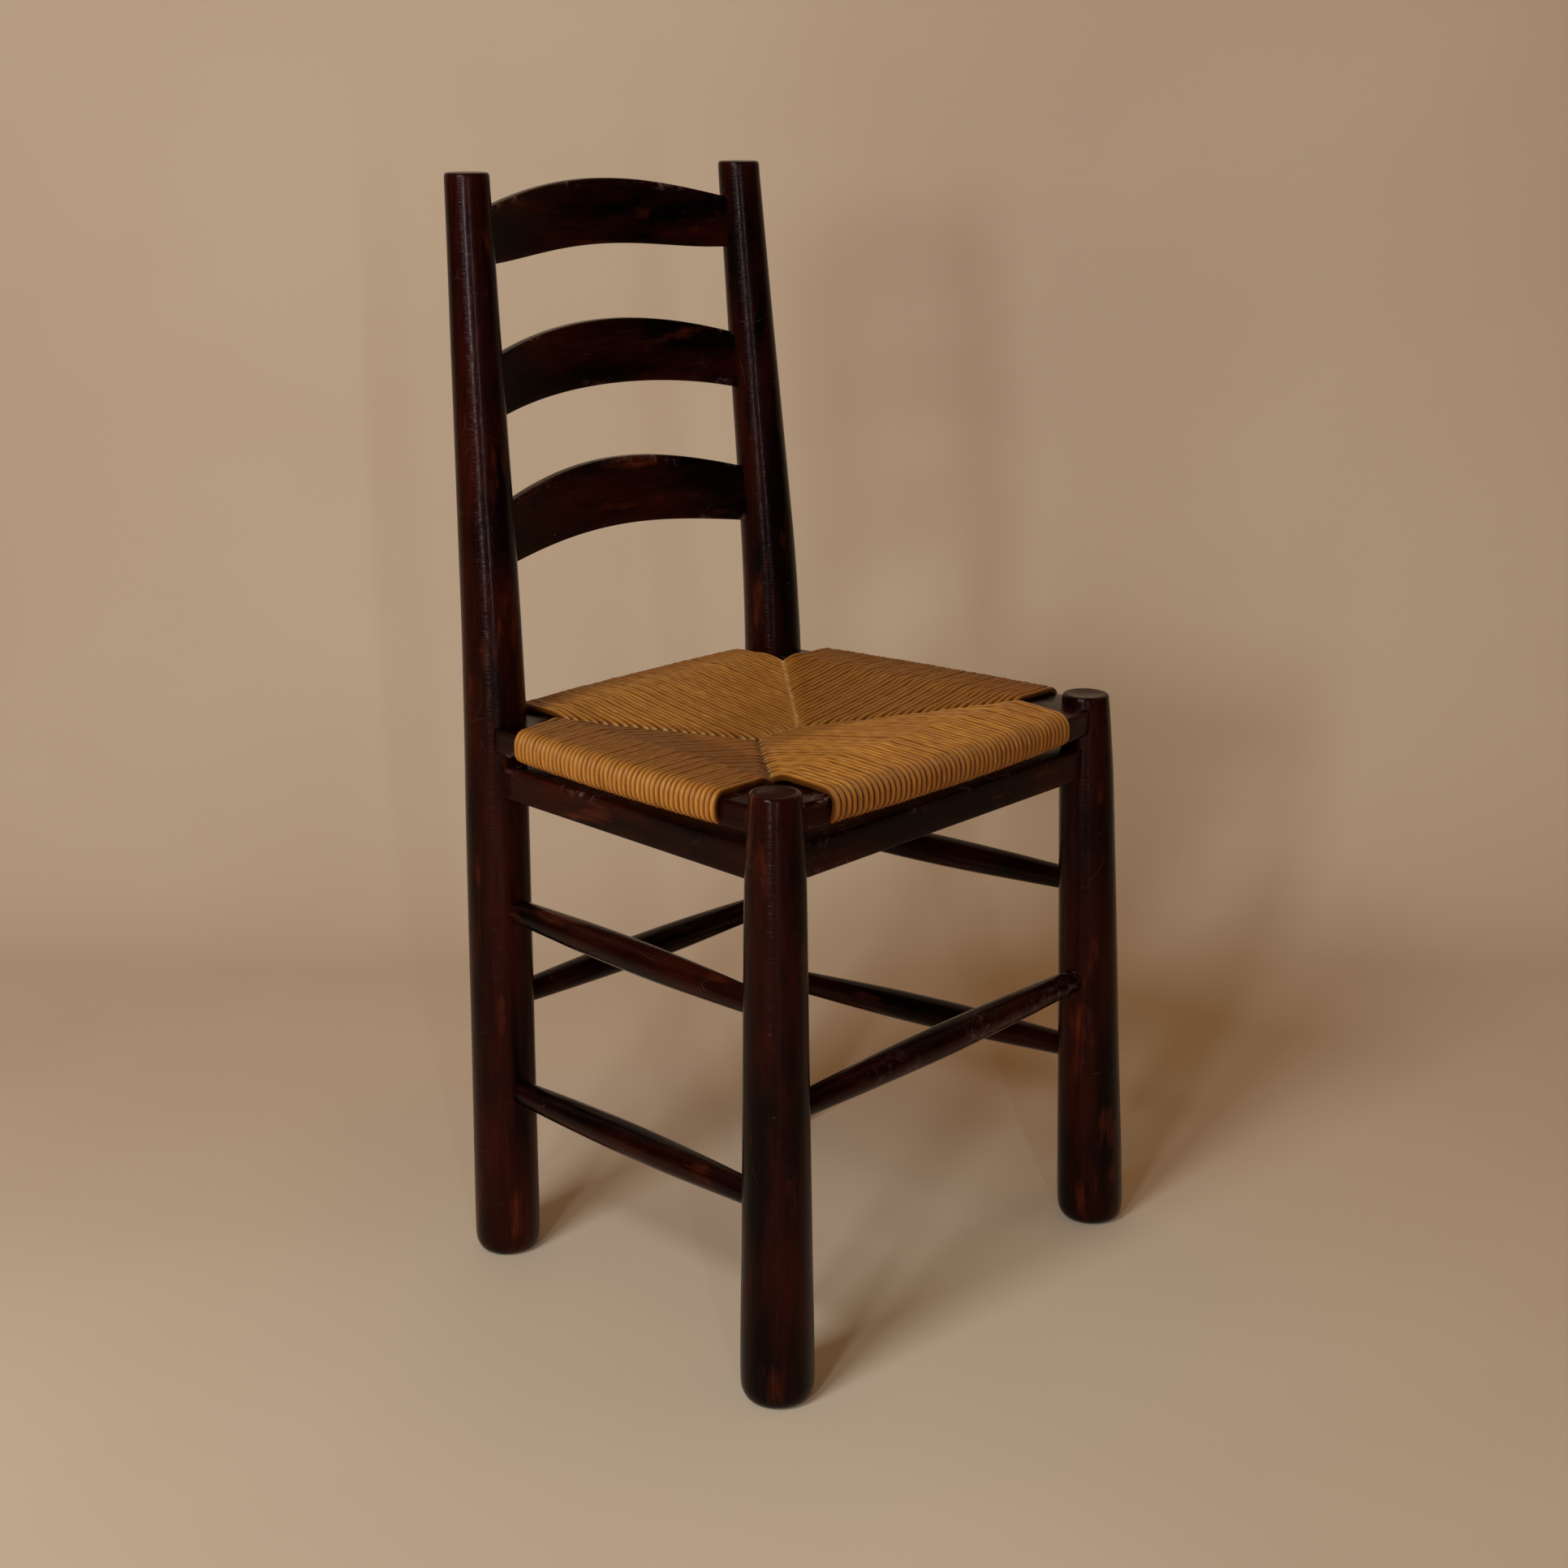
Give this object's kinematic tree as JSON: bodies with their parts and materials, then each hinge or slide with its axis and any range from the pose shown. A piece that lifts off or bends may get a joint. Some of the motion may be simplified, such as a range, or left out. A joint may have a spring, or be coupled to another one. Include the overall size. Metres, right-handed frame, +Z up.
{
  "type": "dining chair",
  "caption": "Ladder-back dining chair: round posts and legs, arched slats, plain aprons, turned stretchers and a woven rush seat wrapped over bowed rails.",
  "frame": {"origin": "middle of the footprint box, on the floor", "axes": "+Z up, -Y towards the front of the chair, +X to the sitter's left"},
  "size_m": [0.4562, 0.411, 0.868],
  "materials": {
    "dark_wood": "dark brown stain under a worn satin polish",
    "rush": "twisted rush, golden brown, slight sheen",
    "straw": "dry straw, matt"
  },
  "bodies": {
    "root": {"front_leg_left": "dark_wood", "front_leg_right": "dark_wood", "back_post_left": "dark_wood", "back_post_right": "dark_wood", "slat_top": "dark_wood", "slat_middle": "dark_wood", "slat_bottom": "dark_wood", "stretcher_front": "dark_wood", "stretcher_back": "dark_wood", "stretcher_left_upper": "dark_wood", "stretcher_left_lower": "dark_wood", "stretcher_right_upper": "dark_wood", "stretcher_right_lower": "dark_wood", "seat_rail_front": "dark_wood", "seat_rail_right": "dark_wood", "seat_rail_back": "dark_wood", "seat_rail_left": "dark_wood", "apron_front": "dark_wood", "apron_right": "dark_wood", "apron_back": "dark_wood", "apron_left": "dark_wood", "rush_seat": "rush", "stuffing_front": "straw", "stuffing_right": "straw", "stuffing_back": "straw", "stuffing_left": "straw"}
  },
  "joints": []
}
